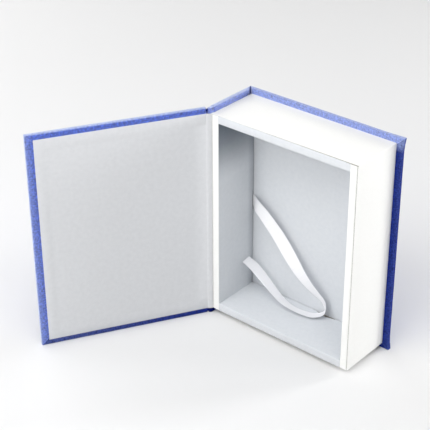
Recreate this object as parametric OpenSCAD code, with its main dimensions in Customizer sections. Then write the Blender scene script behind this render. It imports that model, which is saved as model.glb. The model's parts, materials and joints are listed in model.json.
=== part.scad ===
// Book-form storage box for photo prints: a cloth-covered case (front cover, spine and back cover)
// round a lined tray. It stands on the bottom edges of its covers, with the front cover open.
// Z is up, X runs from the spine to the fore-edge, and the tray's mouth faces -Y.
// The origin is on the surface that the box stands on, at the middle of the back cover's bottom edge.

/* [Prints] */
// Width of the prints that the tray holds
print_w = 130; // [80:1:200]
// Height of the prints
print_h = 180; // [130:1:280]
// Spare room beside the prints, in all
room_w = 8; // [4:0.5:20]
// Spare room above the prints, in all
room_h = 5; // [3:0.5:20]
// Depth inside the tray, for the stack of prints
inner_d = 50; // [30:1:100]

/* [Tray] */
// Thickness of the boards that the four walls are made of
wall_board_t = 6; // [3:0.5:10]
// Thickness of the board under the stack
base_board_t = 3.5; // [2:0.5:8]
// Thickness of the lining panels inside the tray
lining_t = 1; // [0.8:0.1:2]
// Thickness of the white paper outside the tray and over its rims
paper_t = 0.5; // [0.3:0.1:1]
// How far the outer papers end short of the rims
seam_step = 0.3; // [0.1:0.1:0.5]

/* [Case] */
// Thickness of the cover boards and the spine board
cover_board_t = 3.5; // [2:0.5:6]
// Thickness of the cloth
cloth_t = 0.5; // [0.3:0.1:1]
// How far the covers stand past the tray at head and tail
overhang = 5; // [3:0.5:9]
// How far the covers stand past the tray at the fore-edge
fore_overhang = 5.5; // [3:0.5:10]
// Radius of the covers' outer corners
corner_r = 1.5; // [0.8:0.1:3]
// Width of the cloth turned in over the boards' edges
turn_in = 15; // [11:1:25]
// How far the spine board's front edge lies behind the tray's rims
spine_setback = 4; // [2:0.5:10]

/* [Front cover joint] */
// Angle of the open front cover, from closed
open_angle = 120; // [60:5:180]
// Air between the closed liner and the rims
closed_air = 0.2; // [0.1:0.1:1]
// How far the joint's axis lies in front of the closed cover's inner face
axis_drop = 0.2; // [0.1:0.1:0.6]
// Gap between the cloth joint and the front cover's edge
joint_gap = 0.35; // [0.3:0.05:0.8]

/* [Liner] */
// Cloth left showing round the liner at head and tail
liner_margin = 5; // [3:0.5:9]
// Cloth left showing at the fore-edge
liner_fore_margin = 7; // [4:0.5:10]
// How far the liner stands proud of the turned-in cloth
liner_proud = 0.3; // [0.2:0.1:0.6]

/* [Ribbon] */
// Width of the lift ribbon
ribbon_w = 12; // [6:1:16]
// Thickness of the ribbon
ribbon_t = 0.5; // [0.3:0.1:0.6]
// Height at which the ribbon leaves the lining, above the surface
ribbon_exit_z = 102; // [70:1:120]
// Length of the ribbon's glued end
ribbon_tail_l = 24; // [10:1:40]

/* [Hidden] */
eps = 0.01;         // how far a cutter runs past what it cuts

// the space inside the tray
inner_w = print_w + room_w;
inner_h = print_h + room_h;
// wall: lining, board and outer paper
wall_t = lining_t + wall_board_t + paper_t;
base_t = base_board_t + lining_t;
tray_w = inner_w + 2 * wall_t;
tray_h = inner_h + 2 * wall_t;
tray_d = inner_d + base_t;
board_x0 = paper_t;                  // outer face of the spine-side wall board
board_x1 = tray_w - paper_t;         // outer face of the fore-edge wall board
lined_x0 = paper_t + wall_board_t;   // inner face of the spine-side wall board
lined_x1 = tray_w - lined_x0;
open_x0 = wall_t;                    // inner face of the spine-side lining
open_x1 = tray_w - wall_t;
tray_z0 = overhang;
tray_z1 = tray_z0 + tray_h;
lined_z0 = tray_z0 + paper_t + wall_board_t;
lined_z1 = tray_z1 - paper_t - wall_board_t;
open_z0 = tray_z0 + wall_t;
open_z1 = tray_z1 - wall_t;
rim_y = -tray_d;                     // plane of the rims
rim_back_y = rim_y + paper_t;        // where the wall boards end under the rim papers
seam_y = rim_y + seam_step;          // where the outer papers end

// the case
cover_t = cover_board_t + 2 * cloth_t;
case_h = tray_h + 2 * overhang;
fore_x = tray_w + fore_overhang;
back_x0 = -cover_t;
case_w = fore_x - back_x0;
spine_y = rim_y + spine_setback;     // front edge of the spine

// the front cover's joint
joint_x = -cover_t / 2;
closed_y = rim_y - closed_air - liner_proud; // inner face of the turned-in cloth, closed
joint_y = closed_y - axis_drop;
joint_r = cover_t / 2;               // outside of the joint liner's roll
hinge_r = joint_r - cloth_t;         // outside of the cloth's roll
front_x0 = joint_x + joint_r + joint_gap;
front_w = fore_x - front_x0;
joint_wrap = 75;                     // how far the joint liner goes round the roll, in degrees

// the ribbon: points on its middle line, then the direction across it
slit_w = ribbon_t + 0.4;             // width of the slit in the lining
pocket_d = ribbon_t;                 // depth of the pocket behind the lining
ribbon_y0 = -base_t - slit_w / 2;
ribbon_route = [
    [[lined_x0 + pocket_d, ribbon_y0, ribbon_exit_z], [0, 0, 1]],
    [[12, ribbon_y0, 98.5], [0.3, 0, 0.9]],
    [[20, -7, 93], [0.6, 0.1, 0.75]],
    [[33, -9, 83], [0.63, 0.25, 0.7]],
    [[45, -11, 72], [0.6, 0.32, 0.7]],
    [[59, -13, 59], [0.62, 0.2, 0.62]],
    [[70, -13, 48], [0.62, -0.25, 0.6]],
    [[80, -13, 41], [0.6, -0.6, 0.5]],
    [[89, -13, 36], [0.57, -0.66, 0.5]],
    [[96, -13, 32], [0.57, -0.7, 0.5]],
    [[99, -13, 27], [0.5, -0.75, 0.4]],
    [[97, -13, 20], [0.4, -0.85, 0.3]],
    [[90, -14.5, 16], [0.2, -0.95, 0.2]],
    [[78, -16.5, 13.6], [0, -1, 0.1]],
    [[64, -17.5, 14.4], [0, -1, 0.1]],
    [[50, -16.5, 20], [0, -1, 0.1]],
    [[37, -16.5, 31], [0, -1, 0.05]],
    [[23, -17, 39], [0, -1, 0.05]],
    [[9.5, -17, 45.5], [0.1, -1, 0.1]]
];
ribbon_steps = 3;                    // rings between two points of the route
// the ribbon leaves the slit on a slant, so it takes more than its width there
exit_run = ribbon_route[1][0] - ribbon_route[0][0];
exit_h = ribbon_w * norm(exit_run) / exit_run[0];
slit_h = exit_h + 3;                 // height of the slit
// the ribbon's section, as shares of half its width and half its thickness
ribbon_section = [[1, 0.5], [0.7, 1], [-0.7, 1], [-1, 0.5], [-1, -0.5], [-0.7, -1], [0.7, -1], [1, -0.5]];

blue = [0.22, 0.30, 0.72];
greyboard = [0.62, 0.60, 0.56];
white = [0.97, 0.97, 0.96];
grey_paper = [0.83, 0.84, 0.86];
satin = [0.98, 0.98, 1.0];

// ---- placing ----

// from the tray's own corner to the part's origin
module placed() {
    translate([-(fore_x + back_x0) / 2, -cover_t / 2, 0]) children();
}

// the front cover is drawn closed, and turned open about the joint's axis
module opened() {
    translate([joint_x, joint_y, 0])
        rotate([0, 0, -open_angle])
            translate([-joint_x, -joint_y, 0])
                children();
}

// a block between two corners
module block(low, high) {
    translate(low) cube(high - low);
}

// a cover's outline in X and Z, with rounded corners at the fore-edge, from y0 to y1
module cover_slab(x0, x1, y0, y1, z0, z1, r) {
    translate([0, y1, 0])
        rotate([90, 0, 0])
            linear_extrude(y1 - y0)
                union() {
                    translate([x0, z0]) square([x1 - x0 - r, z1 - z0]);
                    translate([x0, z0 + r]) square([x1 - x0, z1 - z0 - 2 * r]);
                    translate([x1 - r, z0 + r]) circle(r, $fn = 48);
                    translate([x1 - r, z1 - r]) circle(r, $fn = 48);
                }
}

// the board inside a cover: the cover less the cloth all round
module cover_board(x0, y0) {
    cover_slab(x0 + cloth_t, fore_x - cloth_t, y0 + cloth_t, y0 + cover_t - cloth_t,
               cloth_t, case_h - cloth_t, corner_r - cloth_t);
}

// ---- front cover ----

module front_cover_board() {
    color(greyboard) placed() opened()
        cover_board(front_x0, closed_y - cover_t);
}

// cloth round the board, turned in over the head, tail and fore-edge
module front_cover_cloth() {
    color(blue) placed() opened()
        difference() {
            cover_slab(front_x0, fore_x, closed_y - cover_t, closed_y, 0, case_h, corner_r);
            cover_board(front_x0, closed_y - cover_t);
            block([front_x0 + cloth_t, closed_y - cloth_t - eps, turn_in],
                  [fore_x - turn_in, closed_y + eps, case_h - turn_in]);
        }
}

// the liner lies on the turned-in cloth, and on the board between
module front_cover_liner() {
    color(grey_paper) placed() opened()
        union() {
            block([front_x0, closed_y, liner_margin],
                  [fore_x - liner_fore_margin, closed_y + liner_proud, case_h - liner_margin]);
            block([front_x0 + cloth_t, closed_y - cloth_t, turn_in],
                  [fore_x - turn_in, closed_y + eps, case_h - turn_in]);
        }
}

// ---- the cloth joint ----

// doubled cloth between the spine's edge and the roll on the joint's axis
module hinge_cloth() {
    color(blue) placed()
        union() {
            translate([joint_x, joint_y, 0]) cylinder(r = hinge_r, h = case_h, $fn = 64);
            block([joint_x - hinge_r, joint_y, 0], [joint_x + hinge_r, spine_y, case_h]);
        }
}

// lining paper inside the joint: glued to the spine, past the tray's edge and round the roll
module joint_liner() {
    color(grey_paper) placed()
        union() {
            translate([0, 0, liner_margin])
                linear_extrude(case_h - 2 * liner_margin)
                    joint_liner_outline();
            block([-cloth_t, spine_y - eps, turn_in], [0, -turn_in, case_h - turn_in]);
        }
}

// the strip beside the roll, and the part of a ring round it
module joint_liner_outline() {
    translate([-cloth_t, joint_y]) square([cloth_t, spine_y - joint_y]);
    translate([joint_x, joint_y])
        intersection() {
            difference() {
                circle(joint_r, $fn = 64);
                circle(hinge_r, $fn = 64);
            }
            rotate(-joint_wrap) square(2 * joint_r);
        }
}

// ---- spine and back cover ----

module spine_board() {
    color(greyboard) placed()
        block([back_x0 + cloth_t, spine_y + cloth_t, cloth_t], [-cloth_t, -cloth_t, case_h - cloth_t]);
}

// cloth round the spine board, turned in at head and tail
module spine_cloth() {
    color(blue) placed()
        difference() {
            block([back_x0, spine_y, 0], [0, 0, case_h]);
            block([back_x0 + cloth_t, spine_y + cloth_t, cloth_t],
                  [-cloth_t, -cloth_t, case_h - cloth_t]);
            block([-cloth_t - eps, spine_y - eps, turn_in], [eps, -turn_in, case_h - turn_in]);
        }
}

module back_cover_board() {
    color(greyboard) placed() cover_board(back_x0, 0);
}

// cloth round the back board; the tray's base lies against its inner face and hides where it is cut
module back_cover_cloth() {
    color(blue) placed()
        difference() {
            cover_slab(back_x0, fore_x, 0, cover_t, 0, case_h, corner_r);
            cover_board(back_x0, 0);
        }
}

// ---- tray boards ----

module base_board() {
    color(greyboard) placed()
        block([board_x0, -base_board_t, tray_z0 + paper_t], [board_x1, 0, tray_z1 - paper_t]);
}

// a head or tail wall, whose outer face is at z0 or z1
module end_wall_board(z0, z1) {
    color(greyboard) placed()
        block([board_x0, rim_back_y, z0], [board_x1, -base_board_t, z1]);
}

module head_wall_board() {
    end_wall_board(lined_z1, tray_z1 - paper_t);
}

module tail_wall_board() {
    end_wall_board(tray_z0 + paper_t, lined_z0);
}

// a wall between the head and tail walls
module side_wall_board(x0, x1) {
    color(greyboard) placed()
        block([x0, rim_back_y, lined_z0], [x1, -base_board_t, lined_z1]);
}

module spine_wall_board() {
    side_wall_board(board_x0, lined_x0);
}

module fore_wall_board() {
    side_wall_board(lined_x1, board_x1);
}

// ---- white outer papers ----

module end_paper(z0, z1) {
    color(white) placed()
        block([0, seam_y, z0], [tray_w, 0, z1]);
}

module head_paper() {
    end_paper(tray_z1 - paper_t, tray_z1);
}

module tail_paper() {
    end_paper(tray_z0, tray_z0 + paper_t);
}

module side_paper(x0, x1) {
    color(white) placed()
        block([x0, seam_y, tray_z0 + paper_t], [x1, 0, tray_z1 - paper_t]);
}

module spine_side_paper() {
    side_paper(0, board_x0);
}

module fore_edge_paper() {
    side_paper(board_x1, tray_w);
}

// white strip over a side wall's end edge, the full height between the outer papers
module rim_strip(x0, x1) {
    color(white) placed()
        block([x0, rim_y, tray_z0 + paper_t], [x1, rim_back_y, tray_z1 - paper_t]);
}

module spine_rim_strip() {
    rim_strip(board_x0, open_x0);
}

module fore_rim_strip() {
    rim_strip(open_x1, board_x1);
}

// ---- linings ----

// lining of a head or tail wall: a panel inside, and its paper turned over the rim
module end_lining(panel_z0, panel_z1, rim_z0, rim_z1) {
    color(grey_paper) placed()
        union() {
            block([lined_x0, rim_back_y, panel_z0], [lined_x1, -base_t, panel_z1]);
            block([open_x0, rim_y, rim_z0], [open_x1, rim_back_y, rim_z1]);
        }
}

module head_lining() {
    end_lining(open_z1, lined_z1, open_z1, tray_z1 - paper_t);
}

module tail_lining() {
    end_lining(lined_z0, open_z0, tray_z0 + paper_t, open_z0);
}

// spine-side panel, with a pocket behind it for the ribbon's glued end and a slit at the back corner
module spine_lining() {
    color(grey_paper) placed()
        difference() {
            block([lined_x0, rim_back_y, open_z0], [open_x0, -base_t, open_z1]);
            block([lined_x0 - eps, -base_t - slit_w - ribbon_tail_l, ribbon_exit_z - slit_h / 2],
                  [lined_x0 + pocket_d, -base_t + eps, ribbon_exit_z + slit_h / 2]);
            block([lined_x0 - eps, -base_t - slit_w, ribbon_exit_z - slit_h / 2],
                  [open_x0 + eps, -base_t + eps, ribbon_exit_z + slit_h / 2]);
        }
}

module fore_lining() {
    color(grey_paper) placed()
        block([open_x1, rim_back_y, open_z0], [lined_x1, -base_t, open_z1]);
}

module base_lining() {
    color(grey_paper) placed()
        block([lined_x0, -base_t, lined_z0], [lined_x1, -base_board_t, lined_z1]);
}

// ---- ribbon ----

// the glued end, on the spine-side wall board behind the lining
module ribbon_tail() {
    color(satin) placed()
        block([lined_x0, -base_t - slit_w / 2 - ribbon_tail_l, ribbon_exit_z - ribbon_w / 2],
              [lined_x0 + pocket_d, -base_t - slit_w / 2 + ribbon_t / 2, ribbon_exit_z + ribbon_w / 2]);
}

function unit(v) = v / norm(v);

// a smooth curve through four values, at share t between the second and the third
function smooth(a, b, c, d, t) =
    0.5 * (2 * b + (c - a) * t + (2 * a - 5 * b + 4 * c - d) * t * t + (3 * b - a - 3 * c + d) * t * t * t);

// column k of the route at step s, with the ends' neighbours mirrored
function route_at(s, k) =
    let(
        last = len(ribbon_route) - 1,
        i = min(floor(s / ribbon_steps), last - 1),
        t = s / ribbon_steps - i,
        b = ribbon_route[i][k],
        c = ribbon_route[i + 1][k],
        a = i > 0 ? ribbon_route[i - 1][k] : 2 * b - c,
        d = i < last - 1 ? ribbon_route[i + 2][k] : 2 * c - b
    )
    smooth(a, b, c, d, t);

// one ring of the ribbon's section at step s; a ring that leans along the route is drawn longer, so
// that the ribbon keeps its width, and the first ring lies flat against the glued end
function ribbon_ring(s, rings) =
    let(
        along = unit(route_at(min(s + 1, rings - 1), 0) - route_at(max(s - 1, 0), 0)),
        lean = unit(route_at(s, 1)),
        across = lean / norm(cross(along, lean)),
        face = s == 0 ? [0, -1, 0] : unit(cross(along, lean))
    )
    [
        for (p = ribbon_section)
            route_at(s, 0) + across * p[0] * ribbon_w / 2 + face * p[1] * ribbon_t / 2
    ];

module ribbon() {
    rings = (len(ribbon_route) - 1) * ribbon_steps + 1;
    sides = len(ribbon_section);
    points = [for (s = [0 : rings - 1]) each ribbon_ring(s, rings)];
    walls = [
        for (s = [0 : rings - 2], i = [0 : sides - 1])
            let(j = (i + 1) % sides, a = s * sides, b = a + sides)
            each [[a + i, a + j, b + j], [a + i, b + j, b + i]]
    ];
    start = [for (i = [1 : sides - 2]) [0, i + 1, i]];
    finish = [for (i = [1 : sides - 2]) [0, i, i + 1] + (rings - 1) * sides * [1, 1, 1]];
    color(satin) placed()
        polyhedron(points, concat(walls, start, finish));
}

front_cover_board();
front_cover_cloth();
front_cover_liner();
hinge_cloth();
joint_liner();
spine_board();
spine_cloth();
back_cover_board();
back_cover_cloth();
base_board();
head_wall_board();
tail_wall_board();
spine_wall_board();
fore_wall_board();
head_paper();
tail_paper();
spine_side_paper();
fore_edge_paper();
spine_rim_strip();
fore_rim_strip();
head_lining();
tail_lining();
spine_lining();
fore_lining();
base_lining();
ribbon_tail();
ribbon();
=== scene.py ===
"""A book-form photo box: cloth-covered boards hinged round a white tray with grey linings."""
import json
import math

import bmesh
import bpy
from mathutils import Matrix, Vector, noise


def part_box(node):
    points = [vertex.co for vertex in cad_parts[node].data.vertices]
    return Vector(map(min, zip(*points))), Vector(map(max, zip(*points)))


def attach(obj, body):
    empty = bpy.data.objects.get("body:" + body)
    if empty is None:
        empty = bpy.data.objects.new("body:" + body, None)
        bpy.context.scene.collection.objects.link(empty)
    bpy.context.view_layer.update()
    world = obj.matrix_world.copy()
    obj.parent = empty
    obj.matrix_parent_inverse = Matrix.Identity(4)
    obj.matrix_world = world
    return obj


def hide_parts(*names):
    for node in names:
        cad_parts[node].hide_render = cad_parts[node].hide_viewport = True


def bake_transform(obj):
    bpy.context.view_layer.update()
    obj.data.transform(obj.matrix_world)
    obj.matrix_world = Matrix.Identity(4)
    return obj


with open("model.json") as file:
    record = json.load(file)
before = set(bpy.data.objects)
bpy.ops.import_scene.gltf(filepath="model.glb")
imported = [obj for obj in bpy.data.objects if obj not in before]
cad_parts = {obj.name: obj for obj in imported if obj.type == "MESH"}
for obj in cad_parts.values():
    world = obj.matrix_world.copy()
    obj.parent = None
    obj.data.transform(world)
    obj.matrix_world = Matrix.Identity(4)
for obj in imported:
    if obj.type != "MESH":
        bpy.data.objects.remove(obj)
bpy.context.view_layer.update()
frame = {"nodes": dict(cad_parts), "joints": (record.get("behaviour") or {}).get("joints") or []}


# ---- Camera ----
# It stands to the right of the tray's mouth and above it, and looks down at the open box through a
# long lens, as the photograph does.

eye = Vector((0.5708, -0.8062, 0.6705))
eye_turn, eye_drop, eye_tilt = math.radians(40.69), math.radians(29.73), math.radians(-0.31)
lens_mm, sensor_mm = 106.5, 36
nearest_seen, farthest_seen = 0.05, 50

camera_data = bpy.data.cameras.new("camera")
camera_data.lens = lens_mm
camera_data.sensor_width = sensor_mm
camera_data.clip_start = nearest_seen
camera_data.clip_end = farthest_seen
camera = bpy.data.objects.new("camera", camera_data)
camera.matrix_world = (
    Matrix.Translation(eye)
    @ Matrix.Rotation(eye_turn, 4, "Z")
    @ Matrix.Rotation(math.pi / 2 - eye_drop, 4, "X")
    @ Matrix.Rotation(eye_tilt, 4, "Z")
)
bpy.context.scene.collection.objects.link(camera)
bpy.context.scene.camera = camera


# ---- Lift ribbon ----
# A white satin ribbon, woven with a firm edge on each side, and glued in behind the spine-side
# lining. It leaves a slit in the lining at the back corner, falls to the floor of the tray, turns
# back there and leans on the spine-side wall with its cut end.

ribbon_width = 0.012
ribbon_thick = 0.00035
ribbon_edge = 0.0009          # width of the firm edge
ribbon_hollow = 0.7           # thickness between the firm edges, as a share of theirs
ribbon_square = (0.4, 0.6)    # how square its section is, sideways and up; an oval would have 1
ribbon_steps = 8              # rings between two points of the route
ribbon_sides = 20
ribbon_rib = 0.0005           # pitch of the cross ribs
rib_depth = 0.0002
ribbon_threads = 700          # how fine the threads are, per metre
ribbon_colour = (0.95, 0.95, 0.965, 1)
ribbon_shade = (0.91, 0.91, 0.935, 1)
ribbon_smooth = 60            # folds sharper than this stay sharp, in degrees
same_place = 1e-6

paper_low, paper_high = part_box("spine_side_paper")
tray_corner = Vector((paper_low.x, paper_high.y, 0))
# points on the middle line, from the tray's corner, then the direction across the ribbon
ribbon_route = [
    ((0.007, -0.00495, 0.102), (0, 0, 1)),
    ((0.0086, -0.0051, 0.1019), (0.05, 0, 1)),
    ((0.01615, -0.0105, 0.10095), (0.28, 0.07, 0.96)),
    ((0.02566, -0.01296, 0.0967), (0.47, 0.15, 0.87)),
    ((0.0336, -0.01326, 0.0902), (0.59, 0.23, 0.78)),
    ((0.0410, -0.01292, 0.0829), (0.65, 0.32, 0.7)),
    ((0.0483, -0.01296, 0.0751), (0.67, 0.39, 0.63)),
    ((0.0557, -0.01344, 0.0671), (0.7, 0.38, 0.61)),
    ((0.0634, -0.01414, 0.0591), (0.73, 0.25, 0.64)),
    ((0.0710, -0.01451, 0.0513), (0.75, 0.05, 0.66)),
    ((0.07885, -0.0138, 0.0436), (0.75, -0.15, 0.64)),
    ((0.08641, -0.01168, 0.0361), (0.76, -0.31, 0.57)),
    ((0.09362, -0.00933, 0.02828), (0.75, -0.5, 0.44)),
    ((0.09602, -0.01041, 0.01864), (0.54, -0.8, 0.27)),
    ((0.08801, -0.01501, 0.01434), (0.37, -0.9, 0.22)),
    ((0.07756, -0.01844, 0.01463), (0.25, -0.93, 0.28)),
    ((0.06686, -0.02016, 0.01604), (0.15, -0.93, 0.34)),
    ((0.05632, -0.02026, 0.01866), (0.06, -0.95, 0.3)),
    ((0.04643, -0.01895, 0.02289), (0.0, -0.97, 0.25)),
    ((0.03694, -0.01749, 0.02795), (-0.03, -0.99, 0.16)),
    ((0.02765, -0.01632, 0.03342), (-0.04, -1.0, 0.05)),
    ((0.01837, -0.01584, 0.039), (0.02, -1.0, -0.02)),
    ((0.00889, -0.01692, 0.04416), (0.15, -0.99, 0.0)),
]
ribbon_middles, ribbon_leans = zip(*ribbon_route)
ribbon_rings = (len(ribbon_route) - 1) * ribbon_steps


def along_curve(points, share):
    """The point at a share of the way along a smooth curve through points."""
    last = len(points) - 1
    place = min(max(share, 0), 1) * last
    i = min(int(place), last - 1)
    t = place - i
    b, c = Vector(points[i]), Vector(points[i + 1])
    a = Vector(points[i - 1]) if i > 0 else 2 * b - c
    d = Vector(points[i + 2]) if i < last - 1 else 2 * c - b
    return 0.5 * (
        2 * b + (c - a) * t + (2 * a - 5 * b + 4 * c - d) * t**2 + (3 * b - a - 3 * c + d) * t**3
    )


def add(tree, kind, inputs=None, **settings):
    """A shader node with its settings; its inputs are values, or the sockets that feed them."""
    made = tree.nodes.new("ShaderNode" + kind)
    for key, value in settings.items():
        setattr(made, key, value)
    for key, value in (inputs or {}).items():
        if isinstance(value, bpy.types.NodeSocket):
            tree.links.new(value, made.inputs[key])
        else:
            made.inputs[key].default_value = value
    return made.outputs[0]


def reckon(tree, operation, *values, **settings):
    """A sum, product or wave of values."""
    return add(tree, "Math", dict(enumerate(values)), operation=operation, **settings)


def stretch(tree, value, low, high, new_low=0, new_high=1, **settings):
    """A value that runs from low to high, made to run from new_low to new_high."""
    ends = {0: value, 1: low, 2: high, 3: new_low, 4: new_high}
    return add(tree, "MapRange", ends, **settings)


def mixed(tree, share, first, second):
    """The first colour, with a share of the second in it."""
    return add(tree, "MixRGB", {0: share, 1: first, 2: second}, blend_type="MIX")


def clouds(tree, place, fineness, detail=2, roughness=0.5):
    """Uneven soft spots; their fineness is per metre of the place."""
    spots = {"Vector": place, "Scale": fineness, "Detail": detail, "Roughness": roughness}
    return add(tree, "TexNoise", spots)


def ripple(tree, value, pitch):
    """A wave along a length, one crest for each pitch."""
    return reckon(tree, "SINE", reckon(tree, "MULTIPLY", value, math.tau / pitch))


def raise_surface(tree, shader, height, strength, depth):
    """Gives the surface the fine relief of a height, at its real depth."""
    bump = add(tree, "Bump", {"Strength": strength, "Distance": depth, "Height": height})
    tree.links.new(bump, shader.inputs["Normal"])


def sheet_map(tree, name):
    """A sheet's own map, in metres, and its two directions."""
    uv = add(tree, "UVMap", uv_map=name)
    parts = tree.nodes.new("ShaderNodeSeparateXYZ")
    tree.links.new(uv, parts.inputs[0])
    return uv, parts.outputs[0], parts.outputs[1]


def surface(name, **values):
    """A material with a Principled shader, whose fixed values are set on its own sockets."""
    material = bpy.data.materials.new(name)
    material.use_nodes = True
    shader = material.node_tree.nodes["Principled BSDF"]
    for key, value in values.items():
        shader.inputs[key.replace("_", " ")].default_value = value
    return material, material.node_tree, shader


def finish_piece(bm, name, material, node, body=None, smooth_below=50):
    """The bmesh as a piece in a CAD node's place, smooth but for its sharp folds, on a body."""
    mesh = bpy.data.meshes.new(name)
    bm.to_mesh(mesh)
    bm.free()
    for polygon in mesh.polygons:
        polygon.use_smooth = True
    mesh.set_sharp_from_angle(angle=math.radians(smooth_below))
    mesh.materials.append(material)
    made = bpy.data.objects.new(name, mesh)
    bpy.context.scene.collection.objects.link(made)
    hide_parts(node)
    if body:
        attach(made, body)
    return made


def ribbon_point(share, turn):
    """A point of the ribbon's surface: a share of its length, and a turn round its section."""
    step = 1 / (len(ribbon_route) - 1) / ribbon_steps
    before = along_curve(ribbon_middles, max(share - step, 0))
    middle = along_curve(ribbon_middles, share)
    run = along_curve(ribbon_middles, min(share + step, 1)) - before
    lean = along_curve(ribbon_leans, share).normalized()
    across = lean / run.normalized().cross(lean).length
    face = Vector((0, -1, 0)) if share == 0 else run.cross(lean).normalized()
    side, lift = math.cos(turn), math.sin(turn)
    side = math.copysign(abs(side) ** ribbon_square[0], side)
    thick = 1 if abs(side) > 1 - 2 * ribbon_edge / ribbon_width else ribbon_hollow
    lift = math.copysign(abs(lift) ** ribbon_square[1], lift) * thick
    edge_place = tray_corner + middle + across * side * ribbon_width / 2
    return edge_place + face * lift * ribbon_thick / 2, side


ribbon_path = [
    tray_corner + along_curve(ribbon_middles, i / ribbon_rings) for i in range(ribbon_rings + 1)
]
ribbon_run = [0.0]
for here, there in zip(ribbon_path, ribbon_path[1:]):
    ribbon_run.append(ribbon_run[-1] + (there - here).length)


def satin():
    """Woven satin: ribs across between the firm edges, and fine threads."""
    material, tree, shader = surface(
        "white_satin", Base_Color=ribbon_colour, Roughness=0.38, Sheen_Weight=0.25,
        Sheen_Roughness=0.4,
    )
    uv, across, along = sheet_map(tree, "cut")
    ribs = ripple(tree, along, ribbon_rib)
    off_middle = reckon(tree, "ABSOLUTE", across)
    edge_from, edge_full = ribbon_width / 2 - ribbon_edge, ribbon_width / 2 - ribbon_edge * 0.7
    edge = stretch(tree, off_middle, edge_from, edge_full)
    threads = clouds(tree, uv, ribbon_threads, 3, 0.6)
    height = reckon(tree, "MULTIPLY_ADD", ribs, edge, threads)
    raise_surface(tree, shader, height, 0.25, rib_depth)
    tone = stretch(tree, threads, 0.3, 0.7)
    colour = mixed(tree, tone, ribbon_shade, ribbon_colour)
    tree.links.new(colour, shader.inputs["Base Color"])
    return material


satin_white = satin()
bm = bmesh.new()
bmesh.ops.create_grid(bm, x_segments=ribbon_sides, y_segments=ribbon_rings, size=0.5)
cut_lines = bm.loops.layers.uv.new("cut")
flat_place = {}
for vert in bm.verts:
    turn, share = (vert.co.x + 0.5) * math.tau, vert.co.y + 0.5
    place, side = ribbon_point(share, turn)
    run_place = ribbon_run[round(share * ribbon_rings)]
    flat_place[vert] = Vector((side * ribbon_width / 2, run_place))
    vert.co = place
for face in bm.faces:
    for loop in face.loops:
        loop[cut_lines].uv = flat_place[loop.vert]
bmesh.ops.remove_doubles(bm, verts=bm.verts, dist=same_place)
bmesh.ops.holes_fill(bm, edges=[e for e in bm.edges if e.is_boundary], sides=0)
bmesh.ops.recalc_face_normals(bm, faces=bm.faces)
ribbon = finish_piece(
    bm, "lift_ribbon", satin_white, "ribbon", "box", ribbon_smooth
)


# ---- Table and studio light ----
# The box stands on a plain pale table under large soft lamps. Far from the box the table fades into
# the pale studio behind it. None of this is part of the box.

table_colour = (0.82, 0.82, 0.82, 1)
table_size = 30
glow_from, glow_full, glow = 1.3, 3.2, 0.6  # where the fading starts and is full; its strength
glow_colour = (1, 1, 1, 1)
room_colour = (1, 1, 1, 1)
room_strength = 0.01
backdrop_strength = 0.8       # the studio behind the table, as it is seen
lamp_target = Vector((0, -0.05, 0.1))
# each lamp: name, where it stands, its width, its power in watts
lamps = [
    ("left_lamp", (-1.93, -0.05, 0.62), 2.6, 48),
    ("corner_lamp", (0.71, -0.76, 1.83), 1.2, 15),
    ("high_front_lamp", (0.0, -1.46, 1.51), 1.2, 10),
    ("front_lamp", (-0.55, -1.35, 1.51), 1.2, 10),
    ("low_front_lamp", (-0.05, -1.98, 0.62), 1.2, 9),
    ("far_right_lamp", (0.97, 1.62, 0.62), 0.6, 20),
    ("low_right_lamp", (1.67, 0.92, 0.62), 0.6, 9),
    ("right_lamp", (1.41, -0.05, 1.51), 1.2, 3.5),
    ("back_lamp", (-1.07, 1.32, 1.10), 1.2, 2),
]


def object_place(tree):
    return tree.nodes.new("ShaderNodeTexCoord").outputs["Object"]


bm = bmesh.new()
bmesh.ops.create_grid(bm, x_segments=1, y_segments=1, size=table_size / 2)
table_mesh = bpy.data.meshes.new("table")
bm.to_mesh(table_mesh)
bm.free()
table = bpy.data.objects.new("table", table_mesh)
bpy.context.scene.collection.objects.link(table)
table_paint, table_tree, table_shader = surface(
    "table_top", Base_Color=table_colour, Roughness=0.6, Specular_IOR_Level=0.2,
    Emission_Color=glow_colour,
)
table_mesh.materials.append(table_paint)
from_middle = table_tree.nodes.new("ShaderNodeVectorMath")
from_middle.operation = "LENGTH"
table_tree.links.new(object_place(table_tree), from_middle.inputs[0])
fade = stretch(
    table_tree, from_middle.outputs["Value"], glow_from, glow_full, 0, glow,
    interpolation_type="SMOOTHSTEP",
)
table_tree.links.new(fade, table_shader.inputs["Emission Strength"])

world = bpy.data.worlds.new("room")
world.use_nodes = True
background = world.node_tree.nodes["Background"]
background.inputs["Color"].default_value = room_colour
seen = world.node_tree.nodes.new("ShaderNodeLightPath").outputs["Is Camera Ray"]
sky = stretch(world.node_tree, seen, 0, 1, room_strength, backdrop_strength)
world.node_tree.links.new(sky, background.inputs["Strength"])
bpy.context.scene.world = world
bpy.context.scene.view_settings.view_transform = "Standard"

for name, stand, width, power in lamps:
    lamp_data = bpy.data.lights.new(name, "AREA")
    lamp_data.size = width
    lamp_data.energy = power
    lamp = bpy.data.objects.new(name, lamp_data)
    lamp.location = stand
    lamp.rotation_euler = (lamp_target - Vector(stand)).to_track_quat("-Z", "Y").to_euler()
    bpy.context.scene.collection.objects.link(lamp)


# ---- Front cover: cloth ----
# A greyboard cover wrapped in blue book cloth. The cloth is pasted round the edges and turned in
# over the head, the tail and the fore-edge, where the corners are mitred.

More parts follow.
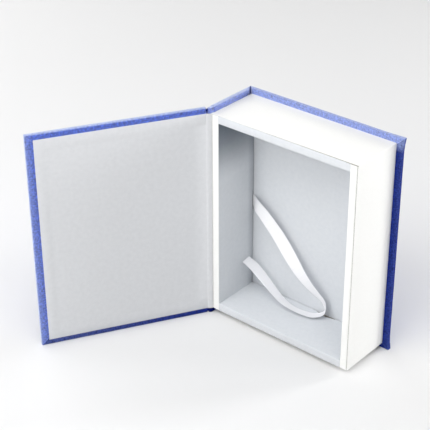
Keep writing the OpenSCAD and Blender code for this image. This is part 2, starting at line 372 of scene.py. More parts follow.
thread_pitch = 0.0006
thread_depth = 0.0004
weave_share = 0.2             # how much the even weave counts beside the slubs
slub_along, slub_across = 300, 900  # how fine the slubs are, along a thread and across it
nap_fineness = 600
dark_height, light_height = 1.15, 1.85  # the weave's height where its colour is deep, and light
cloth_deep = (0.003, 0.018, 0.17, 1)
cloth_light = (0.070, 0.170, 0.86, 1)
painted_shade_deep = (0.002, 0.006, 0.09, 1)  # a darker copy of the cloth without sheen or gloss, laid on as painted shade where the tray, the table or a fold shades it
painted_shade_light = (0.014, 0.040, 0.34, 1)
cloth_sheen, cloth_gloss = 1.0, 0.8
sheen_tint = (0.90, 0.95, 1.0, 1)
cloth_worn_and_lit = (0.44, 0.53, 0.84, 1)  # the tops of the threads, pale where they are worn and where a painted highlight stands in for the sheen on edges
pale_low, pale_high, pale_least = 1.1, 1.9, 0.35  # a low thread is paled less than a high one
# painted shade: the near-black that the cloth takes where its mark is below 0, in folds and creases
cloth_painted_shade = (0.003, 0.008, 0.10, 1)
painted_shade_share = 0.85
edge_mark_depth = 0.001             # how far the paleness of wear and painted highlight reaches round an edge
fore_paleness, fore_paleness_depth = 0.7, 0.0022  # how pale the fore-edge is painted, for wear and painted highlight, and how far in
tail_painted_light = (0.03, 0.24)       # how pale the tail margin is painted, at the joint and at the fore-edge; it is kept dark at the joint as painted shade
tail_seen = 0.7               # the share of the tail's turn-in that the liner leaves showing
cloth_thick = 0.0005
edge_round = 0.0010           # how round the cloth lies over the boards' long edges
corner_round = 0.0008
sharp_edge = 0.7              # an edge that turns by more than this is rounded, in radians
turn_in = 0.015
mitre_half = 0.00014          # half the width of the seam where two turned-in flaps meet
mitre_deep = 0.00025
weave_grid = 0.006            # spacing of the cuts that let the cloth lie a little uneven
unevenness, uneven_size = 0.00007, 0.012
facing = 0.8                  # how far a face's normal leans to the side that it faces
touching = 1e-5               # closer than this counts as the same place
cut_snap = 1e-7

swing = frame["joints"][0]
pivot = Vector(swing["pos_m"])
closing = Matrix.Rotation(math.radians(swing["range_deg"][1]), 4, "Z")
close_cover = Matrix.Translation(pivot) @ closing @ Matrix.Translation(-pivot)
open_cover = close_cover.inverted()


def closed_box(node):
    """The box of a node of the front cover as it lies when the cover is closed."""
    places = [close_cover @ v.co for v in frame["nodes"][node].data.vertices]
    return (
        Vector([min(p[k] for p in places) for k in range(3)]),
        Vector([max(p[k] for p in places) for k in range(3)]),
    )


def block(low, high):
    """A bmesh block between two corners."""
    bm = bmesh.new()
    bmesh.ops.create_cube(bm, size=1)
    bmesh.ops.scale(bm, vec=high - low, verts=bm.verts)
    bmesh.ops.translate(bm, vec=(low + high) / 2, verts=bm.verts)
    return bm


def near(a, b):
    return abs(a - b) < touching


def round_edges(bm, edges, radius, segments):
    bmesh.ops.bevel(
        bm, geom=list(edges), offset=radius, offset_type="OFFSET", affect="EDGES",
        segments=segments, profile=0.5, material=-1,
    )


def cut_across(bm, axis, places):
    """Cuts the whole mesh at each place along an axis."""
    normal = Vector([1 if k == axis else 0 for k in range(3)])
    for place in places:
        bmesh.ops.bisect_plane(
            bm, geom=bm.verts[:] + bm.edges[:] + bm.faces[:], dist=cut_snap,
            plane_co=normal * place, plane_no=normal,
        )


def spaced(low, high, gap):
    count = max(int((high - low) / gap), 1)
    return [low + (high - low) * i / count for i in range(1, count)]


def lay_sheet(bm):
    """Lays a sheet's threads or fibres along the edges of its board: a map in metres by faces."""
    threads = bm.loops.layers.uv.new("threads")
    for face in bm.faces:
        n = face.normal
        if abs(n.y) >= max(abs(n.x), abs(n.z)):
            axes = (0, 2)
        elif abs(n.x) >= abs(n.z):
            axes = (1, 2)
        else:
            axes = (0, 1)
        for loop in face.loops:
            loop[threads].uv = (loop.vert.co[axes[0]], loop.vert.co[axes[1]])


def unsettle(bm, amount, size):
    """Moves each point a little along its normal, so that a pasted sheet isn't dead flat."""
    bm.normal_update()
    for vert in bm.verts:
        vert.co += vert.normal * amount * noise.noise(vert.co / size)


def mitre(bm, corner, inward, inner_y, length):
    """Sinks a narrow seam into the inner face, from a corner slantwise to the liner."""
    along = Vector((inward[0], 0, inward[1])).normalized()
    aside = Vector((-along.z, 0, along.x))
    start = Vector((corner[0], inner_y, corner[1]))
    near_corner = [
        f for f in bm.faces
        if abs(f.calc_center_median().y - inner_y) < edge_round
        and (f.calc_center_median() - start).length < length + 2 * weave_grid
    ]
    for step in (-1, 0, 1):
        geom = set(near_corner)
        for f in near_corner:
            geom.update(f.edges)
            geom.update(f.verts)
        place = start + aside * step * mitre_half
        cut = bmesh.ops.bisect_plane(
            bm, geom=list(geom), dist=cut_snap, plane_co=place, plane_no=aside
        )
        near_corner = list({f for f in cut["geom"] if isinstance(f, bmesh.types.BMFace)})
    middle_y = (min(v.co.y for v in bm.verts) + max(v.co.y for v in bm.verts)) / 2
    sink = mitre_deep if inner_y < middle_y else -mitre_deep
    for vert in bm.verts:
        reach = vert.co - start
        on_seam = abs(reach.dot(aside)) < same_place and 0 < reach.dot(along) < length
        if on_seam and abs(reach.y) < edge_round * 0.7:
            vert.co.y += sink


def slant_end(bm, low_x, inner_y, amount):
    """Cuts the spine end of a board slantwise, back from its inner edge."""
    for vert in bm.verts:
        if near(vert.co.x, low_x) and near(vert.co.y, inner_y):
            vert.co.x += amount


def wrapped_board(low, high, inner_y, window, slant=0.0):
    """Cloth round a board, its fore-edge corners rounded, open on the inner face in the window."""
    bm = block(low, high)
    slant_end(bm, low.x, inner_y, slant)
    corners = [
        e for e in bm.edges
        if all(near(v.co.x, high.x) for v in e.verts)
        and near(e.verts[0].co.z, e.verts[1].co.z)
    ]
    round_edges(bm, corners, corner_round, 5)
    rims = [
        e for e in bm.edges
        if any(near(e.verts[0].co.y, y) and near(e.verts[1].co.y, y) for y in (low.y, high.y))
        and e.calc_face_angle(0) > sharp_edge
    ]
    round_edges(bm, rims, edge_round, 4)
    cut_across(bm, 0, spaced(low.x + edge_round, high.x - edge_round, weave_grid))
    cut_across(bm, 2, spaced(low.z + edge_round, high.z - edge_round, weave_grid))
    if window:
        (x0, z0), (x1, z1) = window
        cut_across(bm, 0, [x0, x1])
        cut_across(bm, 2, [z0, z1])
        opened = []
        for face in bm.faces:
            middle = face.calc_center_median()
            if near(middle.y, inner_y) and x0 < middle.x < x1 and z0 < middle.z < z1:
                opened.append(face)
        bmesh.ops.delete(bm, geom=opened, context="FACES")
    unsettle(bm, unevenness, uneven_size)
    mitre(bm, (high.x, low.z), (-1, 1), inner_y, turn_in)
    mitre(bm, (high.x, high.z), (-1, -1), inner_y, turn_in)
    return bm


def mark_wear_and_light(bm, fore_share, fore_depth):
    """Marks how pale the cloth is painted, for wear and painted highlight: fully at head and tail,
    and by a share at the fore-edge.
    """
    wear_and_painted_light = bm.verts.layers.float.new("wear_and_painted_light")
    low, high = (pick(v.co.z for v in bm.verts) for pick in (min, max))
    fore = max(v.co.x for v in bm.verts)
    for vert in bm.verts:
        ends = 1 - min(vert.co.z - low, high - vert.co.z) / edge_mark_depth
        side = 1 - (fore - vert.co.x) / fore_depth
        vert[wear_and_painted_light] = max(ends, fore_share * max(side, 0), 0)
    return wear_and_painted_light


def book_cloth(name, deep, light, sheen, gloss):
    """Woven cloth with slubs, pale where its mark is above 0, for wear and painted highlight, and
    painted dark as shade where the mark is below 0.
    """
    material, tree, shader = surface(
        name, Roughness=0.42, Specular_IOR_Level=gloss, Sheen_Weight=sheen, Sheen_Roughness=0.42,
        Sheen_Tint=sheen_tint,
    )
    uv, across, along = sheet_map(tree, "threads")
    warp, weft = (ripple(tree, way, thread_pitch) for way in (across, along))
    weave = reckon(tree, "MULTIPLY", warp, weft)
    long_way = add(tree, "Mapping", {"Vector": uv, "Scale": (slub_along, slub_across, 1)})
    tall_way = add(tree, "Mapping", {"Vector": uv, "Scale": (slub_across, slub_along, 1)})
    slubs = reckon(tree, "ADD", clouds(tree, long_way, 1), clouds(tree, tall_way, 1))
    nap = clouds(tree, uv, nap_fineness, 3, 0.6)
    rough_height = reckon(tree, "ADD", slubs, nap)
    height = reckon(tree, "MULTIPLY_ADD", weave, weave_share, rough_height)
    raise_surface(tree, shader, height, 0.7, thread_depth)
    colour = mixed(tree, stretch(tree, height, dark_height, light_height), deep, light)
    wear_and_painted_light = add(tree, "Attribute", attribute_name="wear_and_painted_light")
    raised = stretch(tree, height, pale_low, pale_high, pale_least, 1)
    pale_share = reckon(tree, "MULTIPLY", wear_and_painted_light, raised, use_clamp=True)
    painted_dark = reckon(tree, "MULTIPLY", wear_and_painted_light, -painted_shade_share, use_clamp=True)
    dark_colour = mixed(tree, painted_dark, colour, cloth_painted_shade)
    worn_and_lit_colour = mixed(tree, pale_share, dark_colour, cloth_worn_and_lit)
    tree.links.new(worn_and_lit_colour, shader.inputs["Base Color"])
    return material


blue_cloth = book_cloth("blue_book_cloth", cloth_deep, cloth_light, cloth_sheen, cloth_gloss)
# the second cloth is the painted shade copy: darker, and without sheen or gloss
painted_shade_cloth = book_cloth("blue_book_cloth_painted_shade", painted_shade_deep, painted_shade_light, 0.0, 0.0)
cover_low, cover_high = closed_box("front_cover_cloth")
front_window = (
    (cover_low.x + cloth_thick, cover_low.z + turn_in),
    (cover_high.x - turn_in, cover_high.z - turn_in),
)
bm = wrapped_board(cover_low, cover_high, cover_high.y, front_window)
wear_and_painted_light = mark_wear_and_light(bm, fore_paleness, fore_paleness_depth)
for vert in bm.verts:
    share = (vert.co.x - cover_low.x) / (cover_high.x - cover_low.x)
    from_end = min(vert.co.z - cover_low.z, cover_high.z - vert.co.z)
    at_fold = vert.co.x < cover_low.x + edge_mark_depth / 3 and from_end < edge_round * 1.5
    on_inner = vert.co.y > cover_high.y - edge_round / 2
    at_tail = edge_mark_depth / 2 < vert.co.z < min(turn_in * tail_seen, cover_high.x - vert.co.x)
    # the end of the cloth at the joint, near the head and tail, is painted near-black as shade; the
    # tail margin is painted paler towards the fore-edge
    if at_fold:
        vert[wear_and_painted_light] = -1
    elif on_inner and at_tail:
        vert[wear_and_painted_light] = tail_painted_light[0] * (1 - share) + tail_painted_light[1] * share
bm.normal_update()
# the tail margin and the painted-dark fold take the darker, sheenless cloth, as painted shade
for face in bm.faces:
    middle = face.calc_center_median()
    at_tail = face.normal.y > facing and middle.z < min(turn_in, cover_high.x - middle.x)
    face.material_index = 1 if at_tail or all(v[wear_and_painted_light] < 0 for v in face.verts) else 0
lay_sheet(bm)
bmesh.ops.transform(bm, matrix=open_cover, verts=bm.verts)
front_cloth = finish_piece(
    bm, "front_cover_book_cloth", blue_cloth, "front_cover_cloth", "front_cover"
)
front_cloth.data.materials.append(painted_shade_cloth)
wall = front_cloth.modifiers.new("cloth_thickness", "SOLIDIFY")
wall.thickness = cloth_thick
wall.offset = -1


# ---- Greyboards ----
# The stiff parts of the case and of the tray are cut from greyboard, pressed from waste paper, with
# flecks of fibre in it. They are glued together edge to edge, and cloth and paper are pasted over
# them. The two that are cut slanted, in the spine and the back cover, are made further down.

board_grey = (0.36, 0.34, 0.30, 1)
board_fleck = (0.24, 0.22, 0.19, 1)
fleck_size = 0.0012
pulp_fineness = 900
pulp_depth = 0.0003
board_nodes = [
    "front_cover_board", "base_board", "head_wall_board", "tail_wall_board", "spine_wall_board",
    "fore_wall_board",
]


def greyboard():
    """Pressed pulp, rough and flecked."""
    material, tree, shader = surface("greyboard", Roughness=0.9, Specular_IOR_Level=0.25)
    place = object_place(tree)
    flecks = add(
        tree, "TexVoronoi", {"Vector": place, "Scale": 1 / fleck_size, "Randomness": 1.0}
    )
    pulp = clouds(tree, place, pulp_fineness, 4, 0.7)
    share = stretch(tree, reckon(tree, "MULTIPLY", flecks, pulp), 0.1, 0.45)
    colour = mixed(tree, share, board_fleck, board_grey)
    tree.links.new(colour, shader.inputs["Base Color"])
    raise_surface(tree, shader, pulp, 0.5, pulp_depth)
    return material


grey_board = greyboard()
for node in board_nodes:
    mesh = frame["nodes"][node].data
    mesh.materials.clear()
    mesh.materials.append(grey_board)


# ---- Front cover: liner ----
# A pale grey text paper pasted over the board and over the edges of the turned-in cloth. It dips a
# little past those edges, and its own cut edges lie flat on the cloth.

liner_grey = (0.71, 0.72, 0.74, 1)
liner_shade = (0.65, 0.66, 0.68, 1)
liner_dip = 0.00015
dip_starts, dip_full = 0.0002, 0.0006  # the dip starts before the cloth's edge and is full past it
liner_edge = 0.00018
liner_grid = 0.012
liner_uneven, liner_uneven_size = 0.00004, 0.03
laid_pitch = 0.0009           # pitch of the paper's laid lines
laid_lines = 0.10             # and how strong they are
fibre_fineness = 2200
fibre_depth = 0.00012
mottle_size = 0.004


def pasted_paper(name, light, dark, lines, rough, mottle=mottle_size, corners=None):
    """Paper with a fine fibre, a soft mottle and faint laid lines, on the piece's own map."""
    material, tree, shader = surface(name, Roughness=rough, Specular_IOR_Level=0.3)
    uv, across, along = sheet_map(tree, "threads")
    fibre = clouds(tree, uv, fibre_fineness, 4, 0.7)
    spots = clouds(tree, uv, 1 / mottle, 3, 0.55)
    laid = ripple(tree, across, laid_pitch)
    raise_surface(
        tree, shader, reckon(tree, "MULTIPLY_ADD", laid, lines, fibre), 0.35, fibre_depth
    )
    cloudy = reckon(tree, "ADD", spots, fibre)
    cloudy_lined = reckon(tree, "MULTIPLY_ADD", laid, lines * 0.5, cloudy)
    colour = mixed(tree, stretch(tree, cloudy_lined, 0.65, 1.35), dark, light)
    # where a shade colour is given, the piece's corner attribute paints it in as painted shade
    if corners:
        painted_shade = add(tree, "Attribute", attribute_name="painted_corner_shade")
        colour = mixed(tree, painted_shade, colour, corners)
    tree.links.new(colour, shader.inputs["Base Color"])
    return material


liner_paper = pasted_paper("grey_liner_paper", liner_grey, liner_shade, laid_lines, 0.7)
liner_low, liner_high = closed_box("front_cover_liner")
bm = block(liner_low, liner_high)
top_edges = [e for e in bm.edges if all(near(v.co.y, liner_high.y) for v in e.verts)]
round_edges(bm, top_edges, liner_edge, 2)
cloth_end_x, cloth_end_z = cover_high.x - turn_in, cover_high.z - turn_in
dip_x = cloth_end_x - dip_full
dip_low_z, dip_high_z = turn_in + dip_full, cloth_end_z - dip_full
cut_across(
    bm, 0,
    [dip_x, cloth_end_x + dip_starts] + spaced(liner_low.x, liner_high.x, liner_grid),
)
cut_across(
    bm, 2,
    [turn_in - dip_starts, dip_low_z, dip_high_z, cloth_end_z + dip_starts]
    + spaced(liner_low.z, liner_high.z, liner_grid),
)
for vert in bm.verts:
    in_height = dip_low_z - touching < vert.co.z < dip_high_z + touching
    if vert.co.y > liner_high.y - touching and vert.co.x < dip_x + touching and in_height:
        vert.co.y -= liner_dip
unsettle(bm, liner_uneven, liner_uneven_size)
lay_sheet(bm)
bmesh.ops.transform(bm, matrix=open_cover, verts=bm.verts)
finish_piece(
    bm, "front_cover_lining_paper", liner_paper, "front_cover_liner",
    "front_cover",
)


# ---- Hinge cloth ----
# Where the front cover swings, the cloth and its turned-in layer lie in a groove between the
# cover's edge and the spine board, with no board in them, and bend there. At the head and the tail
# the folds are pinched, and their shade is painted in nearly black.

# corners seen from above, in millimetres from the tray's corner, each with its rounding: the strip
# from the spine to its roll, the outer layer that runs on to the cover, and the web that fills the
# foot of the slot between them
hinge_outline = [
    (-1.0, -50.1, 0), (-4.2, -50.1, 0), (-4.0, -51.2, 0.5), (-3.95, -56.85, 1.2),
    (-2.4, -56.85, 0.3), (-0.6, -54.9, 0.4), (-0.5, -50.1, 0),
]
layer_outline = [
    (-3.4, -54.2, 0), (-4.05, -54.4, 0.3), (-4.6, -55.75, 0.5), (-6.2, -55.75, 0.3),
    (-6.95, -55.85, 0), (-6.9, -56.5, 0), (-5.6, -56.45, 0), (-4.3, -56.35, 0.3),
    (-3.5, -55.3, 0),
]
web_outline = [
    (-3.2, -54.9, 0), (-4.35, -56.1, 0.5), (-6.2, -56.0, 0.5), (-6.9, -56.1, 0), (-6.9, -56.5, 0),
    (-3.66, -57.74, 0), (-2.7, -57.1, 0), (-2.5, -55.6, 0),
]
layer_short = 0.0014          # how far the outer layer stops below the covers' ends
web_short = 0.0016            # and the web
end_round = 0.0007            # how round the cloth lies over the head and tail ends
end_inset = 0.001             # where the uneven part of an upright cloth starts
fold_starts = 0.0567          # in front of this the cloth lies in the fold
fold_step = 0.0002
fold_side = 0.003             # and nearer than this to the tray, at the tail
fold_tail, fold_head = 0.0065, 0.003  # how far the painted shade of the pinched fold reaches, from the tail and from the head
hinge_uneven, hinge_uneven_size = 0.00005, 0.006


def upright(outline, low, high, segments=4):
    """An outline of corners, with their roundings, raised from one height to another."""
    bm = bmesh.new()
    places = [(tray_corner + Vector((x, y, 0)) / 1000, r / 1000) for x, y, r in outline]
    corners = [bm.verts.new(place + Vector((0, 0, low))) for place, radius in places]
    base = bm.faces.new(corners)
    raised = bmesh.ops.extrude_face_region(bm, geom=[base])
    top = [g for g in raised["geom"] if isinstance(g, bmesh.types.BMVert)]
    bmesh.ops.translate(bm, vec=(0, 0, high - low), verts=top)
    bmesh.ops.recalc_face_normals(bm, faces=bm.faces)
    for place, radius in places:
        if radius:
            folds = [
                e for e in bm.edges
                if all((v.co.xy - place.xy).length < same_place for v in e.verts)
            ]
            round_edges(bm, folds, radius, segments)
    return bm


def round_ends(bm):
    """Rounds the cloth over the head and tail ends of an upright piece."""
    ends = [
        e for e in bm.edges
        if any(all(near(v.co.z, z) for v in e.verts) for z in (cover_low.z, cover_high.z))
    ]
    round_edges(bm, ends, end_round, 3)


def split_wide(bm):
    """Splits the faces of many corners, such as the ends of an upright piece, into triangles."""
    bmesh.ops.triangulate(bm, faces=[f for f in bm.faces if len(f.verts) > 4])


bm = upright(hinge_outline, cover_low.z, cover_high.z)
round_ends(bm)
fold_line = tray_corner.y - fold_starts
cut_across(bm, 1, [fold_line, fold_line + fold_step])
wear_and_painted_light = mark_wear_and_light(bm, 0, edge_mark_depth)
for outline, short in ((layer_outline, layer_short), (web_outline, web_short)):
    inner = upright(outline, cover_low.z + short, cover_high.z - short)
    marks = inner.verts.layers.float.new("wear_and_painted_light")
    for vert in inner.verts:
        vert[marks] = -1
    inner_mesh = bpy.data.meshes.new("hinge_inner")
    inner.to_mesh(inner_mesh)
    inner.free()
    bm.from_mesh(inner_mesh)
    bpy.data.meshes.remove(inner_mesh)
cut_across(
    bm, 2,
    spaced(cover_low.z + end_inset, cover_high.z - end_inset, weave_grid)
    + [fold_tail, cover_high.z - fold_head],
)
# the pinched ends of the fold are painted near-black as shade (mark -1); the rest of the fold keeps
# a plain mark
for vert in bm.verts:
    in_fold = vert[wear_and_painted_light] < 0 or vert.co.y < fold_line + touching
    by_tray = vert.co.x > tray_corner.x - fold_side
    at_tail = vert.co.z < fold_tail + touching and (in_fold or by_tray)
    at_head = vert.co.z > cover_high.z - fold_head - touching and in_fold
    if at_tail or at_head:
        vert[wear_and_painted_light] = -1
    elif in_fold:
        vert[wear_and_painted_light] = 0
# faces painted dark take the darker, sheenless cloth, as painted shade
for face in bm.faces:
    face.material_index = 1 if all(v[wear_and_painted_light] < 0 for v in face.verts) else 0
unsettle(bm, hinge_uneven, hinge_uneven_size)
lay_sheet(bm)
split_wide(bm)
hinge = finish_piece(bm, "hinge_book_cloth", blue_cloth, "hinge_cloth")
hinge.data.materials.append(painted_shade_cloth)
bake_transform(hinge)


# ---- Joint liner ----
# The same grey paper runs on over the groove: pasted to the inside of the front cover, rounded over
# the joint, and glued between the spine and the tray.

joint_outline = [
    (-0.5, -15.0, 0), (0.0, -15.0, 0), (0.0, -54.6, 0.4), (-1.9, -57.2, 0.8), (-3.5, -57.95, 0),
    (-3.45, -57.45, 0), (-2.1, -56.8, 0.6), (-0.5, -54.8, 0.3),
]
joint_cuts = (-20, -27, -34, -41, -46, -50, -52, -53, -54)  # closer towards the bend, in mm
liner_band = 0.005            # cloth left showing at the head and the tail

bm = upright(joint_outline, cover_low.z + liner_band, cover_high.z - liner_band, 5)
cut_across(bm, 1, [tray_corner.y + y / 1000 for y in joint_cuts])
lay_sheet(bm)
split_wide(bm)
joint_paper = finish_piece(bm, "joint_lining_paper", liner_paper, "joint_liner")
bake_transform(joint_paper)


# ---- Spine: cloth and board ----
# The spine board in its cloth, glued to the side of the tray. At the back its end and the back
# cover's are cut slanted, so that the cloth folds round the corner with an open crease inside it.

spine_outline = [
    (-4.5, -50.5, 0.9), (0, -50.5, 0.25), (0, -4.6, 0.5), (-3.8, 3.4, 0), (-3.7, 4.35, 0),
    (-4.45, 4.4, 0.5),
]
spine_board_outline = [(-4.0, -50.0, 0.1), (-0.5, -50.0, 0.1), (-0.5, -5.4, 0.1), (-3.9, 0.8, 0.1)]
spine_cuts = range(-48, -5, 5)

bm = upright(spine_outline, cover_low.z, cover_high.z)
round_ends(bm)
cut_across(bm, 1, [tray_corner.y + y / 1000 for y in spine_cuts])
cut_across(bm, 2, spaced(cover_low.z + end_inset, cover_high.z - end_inset, weave_grid))
unsettle(bm, unevenness, uneven_size)
mark_wear_and_light(bm, 0, edge_mark_depth)
lay_sheet(bm)
split_wide(bm)
finish_piece(bm, "spine_book_cloth", blue_cloth, "spine_cloth", "box")

board_low, board_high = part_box("spine_board")
bm = upright(spine_board_outline, board_low.z, board_high.z, 2)
finish_piece(bm, "spine_greyboard", grey_board, "spine_board", "box")


# ---- Back cover: cloth and board ----
# The back cover is wrapped as the front one is. The tray is glued to it and hides all of its inner
# face but a narrow margin; there and on the fore-edge end the cloth is a darker copy without sheen,
# painted shade for the tray's shadow. The folds of the turned-in corners stand out a little.

back_slant = 0.0045
board_slant = 0.0006          # how much more the board is cut back than its cloth
board_round = 0.0001
corner_flare = (0.0015, 0.0006)  # how far the folds stand out, to the fore and up
flare_reach = 0.014
# how pale the back cover's fore-edge is painted, for wear and painted highlight, and how far in
margin_paleness, margin_paleness_depth = 0.14, 0.005
head_margin, head_painted_light = 0.0075, 0.6   # the inner head margin is painted pale too, as painted light
# the share of that paleness kept on the outer face
outer_paleness = 0.6

back_low, back_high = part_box("back_cover_cloth")
bm = wrapped_board(back_low, back_high, back_low.y, None, back_slant)
for vert in bm.verts:
    from_end = min(vert.co.z - back_low.z, back_high.z - vert.co.z)
    from_fore = back_high.x - vert.co.x
    folded = max(1 - from_end / flare_reach, 0) ** 2 * max(1 - from_fore / flare_reach, 0)
    vert.co.x += corner_flare[0] * folded
    if vert.co.z > back_high.z - flare_reach:
        vert.co.z += corner_flare[1] * folded
wear_and_painted_light = mark_wear_and_light(bm, margin_paleness, margin_paleness_depth)
for vert in bm.verts:
    inner = vert.co.y < (back_low.y + back_high.y) / 2
    if inner and vert.co.z > back_high.z - head_margin:
        vert[wear_and_painted_light] = max(vert[wear_and_painted_light], head_painted_light)
    elif not inner:
        vert[wear_and_painted_light] *= outer_paleness
lay_sheet(bm)
bm.normal_update()
# the darker, sheenless cloth goes on the fore-edge end and on the fore and tail margins of the
# inner face, as painted shade
for face in bm.faces:
    middle = face.calc_center_median()
    from_end = min(middle.z - back_low.z, back_high.z - middle.z)
    beyond_mitre = back_high.x - middle.x < min(from_end, turn_in)
    in_margin = face.normal.y < -facing and (beyond_mitre or middle.z < turn_in)
    face.material_index = 1 if face.normal.x > facing or in_margin else 0
back_cloth = finish_piece(
    bm, "back_cover_book_cloth", blue_cloth, "back_cover_cloth", "box"
)
back_cloth.data.materials.append(painted_shade_cloth)

board_low, board_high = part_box("back_cover_board")
bm = block(board_low, board_high)
slant_end(bm, board_low.x, board_low.y, back_slant + board_slant)
round_edges(bm, bm.edges, board_round, 1)
finish_piece(bm, "back_cover_greyboard", grey_board, "back_cover_board", "box")


# ---- Tray: outer papers ----
# White paper is pasted over the four outer sides of the tray. The head and tail sheets lap over the
# side sheets, and all four stop a hair short of the papers on the rims.

paper_white = (0.92, 0.92, 0.905, 1)
paper_warm = (0.89, 0.89, 0.87, 1)
paper_mottle = 0.0025
paper_fold = 0.0004
tray_width = 0.153
head_edge = 0.001             # the part of the head sheet that is drawn back
paper_back = (0.0004, 0.0014)  # how far it stops behind the rim, at the spine and at the fore-edge
# the sides of a sheet, each as an axis and a direction
spine_side, fore_side = (0, -1), (0, 1)
head_side, tail_side = (2, 1), (2, -1)
rim_side = (1, -1)

white_paper = pasted_paper(
    "white_outer_paper", paper_white, paper_warm, 0.0, 0.55, paper_mottle
)


def paper_sheet(node, name, material, rounded, radius, trimmed=None):
    """A pasted sheet in a CAD node's box. A rounded edge is given as the two sides that meet."""
    low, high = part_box(node)
    low, high = low.copy(), high.copy()
    if trimmed:
        (axis, way), amount = trimmed
        (high if way > 0 else low)[axis] -= way * amount
    bm = block(low, high)
    edges = []
    for e in bm.edges:
        middle = (e.verts[0].co + e.verts[1].co) / 2
        for sides in rounded:
            if all(near(middle[axis], (high if way > 0 else low)[axis]) for axis, way in sides):
                edges.append(e)
    if edges:
        round_edges(bm, edges, radius, 3)
    lay_sheet(bm)
    return finish_piece(bm, name, material, node, "box")


head_paper = paper_sheet(
    "head_paper", "head_outer_paper", white_paper,
    [(spine_side, head_side), (fore_side, head_side), (rim_side, head_side)], paper_fold,
)
for vert in head_paper.data.vertices:
    if vert.co.y < paper_low.y + head_edge:
        share = (vert.co.x - tray_corner.x) / tray_width
        vert.co.y += paper_back[0] + (paper_back[1] - paper_back[0]) * share
paper_sheet(
    "tail_paper", "tail_outer_paper", white_paper,
    [(spine_side, tail_side), (fore_side, tail_side), (rim_side, tail_side)], paper_fold,
)
paper_sheet(
    "spine_side_paper", "spine_side_outer_paper", white_paper,
    [(spine_side, rim_side)], paper_fold,
)
paper_sheet(
    "fore_edge_paper", "fore_edge_outer_paper", white_paper,
    [(fore_side, rim_side)], paper_fold,
)


# ---- Tray: rim strips ----
# A strip of the white paper is pasted over the front edge of each side wall, from the head to the
# tail. A narrow seam shows between it and the paper on the wall's outer side.

seam_gap = 0.00045
strip_fold = 0.0003
for node, name, seam_side in (
    ("spine_rim_strip", "spine_rim_paper", spine_side),
    ("fore_rim_strip", "fore_rim_paper", fore_side),
):
    paper_sheet(
        node, name, white_paper,
        [(spine_side, rim_side), (fore_side, rim_side)], strip_fold, (seam_side, seam_gap),
    )


# ---- Tray: linings ----
# The inside is lined with thin grey-blue card: one panel on the floor of the tray and one on each
# wall. The head and tail panels fold over the rims of their walls.

lining_light = (0.715, 0.735, 0.76, 1)
lining_dark = (0.66, 0.685, 0.715, 1)
card_thick, flap_thick = 0.001, 0.0005
flap_past = 0.0002            # how far the flap's end passes the wall's outer side
fold_round = 0.0005
flap_round = 0.0002
card_edge = 0.0003
floor_gap = 0.0006            # between the tail card and the back one
back_crack = 0.0034           # how much wider it is at one place, where the card has drawn away
crack_middle, crack_half = 0.095, 0.013
crack_cuts, crack_reach = range(20, 140, 4), 0.004
corner_crease = 0.0008
# the colour of the shade painted into the spine-side card
painted_corner_shade = (0.02, 0.045, 0.08, 1)
# painted shade on the spine-side card: how strong it is below the head wall, by height, and then
# along its back edge
head_painted_shade = [
    (0.197, 0.79), (0.187, 0.75), (0.178, 0.67), (0.169, 0.52), (0.159, 0.31), (0.150, 0.12),
    (0.141, 0.0),
]
shade_step = 0.004
back_painted_shade, back_painted_shade_depth = 0.35, 0.008
slit_deep = 0.0009
slit_high = 0.0185
slit_middle = 0.102

lining_card = pasted_paper(
    "grey_lining_card", lining_light, lining_dark, laid_lines, 0.6, corners=painted_corner_shade
)


def folded_lining(node, name, inner_z, outer_z, back_gap=0.0, crack=0.0):
    """A lining panel with a flap folded over the rim: its section, drawn out sideways."""
    low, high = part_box(node)
    up = 1 if outer_z > inner_z else -1
    flap_z = outer_z + up * flap_past
    card_z = inner_z + up * card_thick
    bm = bmesh.new()
    corners = [
        (high.y, inner_z), (low.y, inner_z), (low.y, flap_z), (low.y + flap_thick, flap_z),
        (low.y + flap_thick, card_z), (high.y, card_z),
    ]
    base = bm.faces.new([bm.verts.new((low.x + card_thick, y, z)) for y, z in corners])
    drawn = bmesh.ops.extrude_face_region(bm, geom=[base])
    far = [g for g in drawn["geom"] if isinstance(g, bmesh.types.BMVert)]
    bmesh.ops.translate(bm, vec=(high.x - low.x - 2 * card_thick, 0, 0), verts=far)
    bmesh.ops.recalc_face_normals(bm, faces=bm.faces)
    for edge_z, radius, segments in ((inner_z, fold_round, 4), (flap_z, flap_round, 2)):
        edges = [
            e for e in bm.edges
            if all(near(v.co.y, low.y) and near(v.co.z, edge_z) for v in e.verts)
        ]
        round_edges(bm, edges, radius, segments)
    if back_gap:
        cut_across(bm, 0, [tray_corner.x + x / 1000 for x in crack_cuts])
        cut_across(bm, 1, [high.y - crack_reach])
        for vert in bm.verts:
            if near(vert.co.y, high.y):
                share = 1 - abs(vert.co.x - tray_corner.x - crack_middle) / crack_half
                vert.co.y -= back_gap + crack * max(share, 0)
    lay_sheet(bm)
    return finish_piece(bm, name, lining_card, node, "box")


head_low, head_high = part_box("head_lining")
folded_lining("head_lining", "head_lining_card", head_low.z, head_high.z)
tail_low, tail_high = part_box("tail_lining")
folded_lining(
    "tail_lining", "tail_lining_card", tail_high.z, tail_low.z, floor_gap, back_crack
)
paper_sheet(
    "fore_lining", "fore_lining_card", lining_card, [(spine_side, rim_side)],
    card_edge,
)
paper_sheet("base_lining", "base_lining_card", lining_card, [], 0)

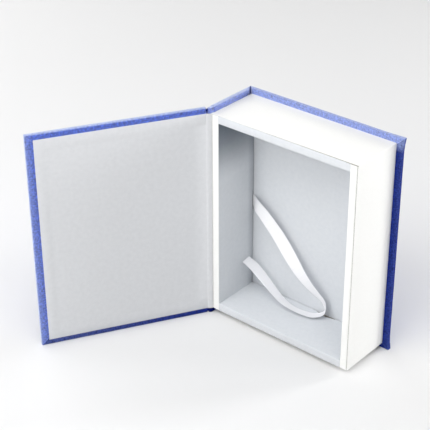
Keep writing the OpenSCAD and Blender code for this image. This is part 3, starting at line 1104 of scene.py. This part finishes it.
# the spine-side card stops short of the back one, and has the ribbon's slit cut in from that end
side_low, side_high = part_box("spine_lining")
side_high = Vector((side_high.x, side_high.y - corner_crease, side_high.z))
bm = block(side_low, side_high)
rim_edges = [
    e for e in bm.edges
    if all(near(v.co.x, side_high.x) and near(v.co.y, side_low.y) for v in e.verts)
]
round_edges(bm, rim_edges, card_edge, 3)
cut_across(bm, 1, [side_high.y - slit_deep])
cut_across(bm, 2, [slit_middle - slit_high / 2, slit_middle + slit_high / 2])
taken = [
    f for f in bm.faces
    if f.calc_center_median().y > side_high.y - slit_deep - same_place
    and abs(f.calc_center_median().z - slit_middle) < slit_high / 2
]
bmesh.ops.delete(bm, geom=taken, context="FACES")
bmesh.ops.holes_fill(bm, edges=[e for e in bm.edges if e.is_boundary], sides=0)
# the spine-side card is painted darker below the head wall and along its back edge, as painted
# shade; these cuts let that shade grade smoothly
cut_across(bm, 1, [side_high.y - back_painted_shade_depth * i / 4 for i in range(1, 5)])
cut_across(bm, 2, [head_painted_shade[-1][0] + shade_step * i for i in range(14)])
grey = bm.verts.layers.float.new("painted_corner_shade")
for vert in bm.verts:
    from_head = 0.0
    for (high, strong), (low, weak) in zip(head_painted_shade, head_painted_shade[1:]):
        if vert.co.z > low:
            from_head = weak + (strong - weak) * min((vert.co.z - low) / (high - low), 1)
            break
    from_back = back_painted_shade * max(1 - (side_high.y - vert.co.y) / back_painted_shade_depth, 0)
    vert[grey] = 1 - (1 - from_head) * (1 - from_back)
lay_sheet(bm)
finish_piece(bm, "spine_lining_card", lining_card, "spine_lining", "box")


# ---- Lift ribbon: glued end ----
# The last stretch of the ribbon passes through the slit and lies flat in a shallow pocket behind
# the spine-side lining, where it is glued to the wall.

end_low, end_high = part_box("ribbon_tail")
bm = block(end_low, end_high)
cut_lines = bm.loops.layers.uv.new("cut")
for face in bm.faces:
    for loop in face.loops:
        loop[cut_lines].uv = (loop.vert.co.z - (end_low.z + end_high.z) / 2, loop.vert.co.y)
finish_piece(
    bm, "ribbon_glued_end", satin_white, "ribbon_tail", "box", ribbon_smooth
)
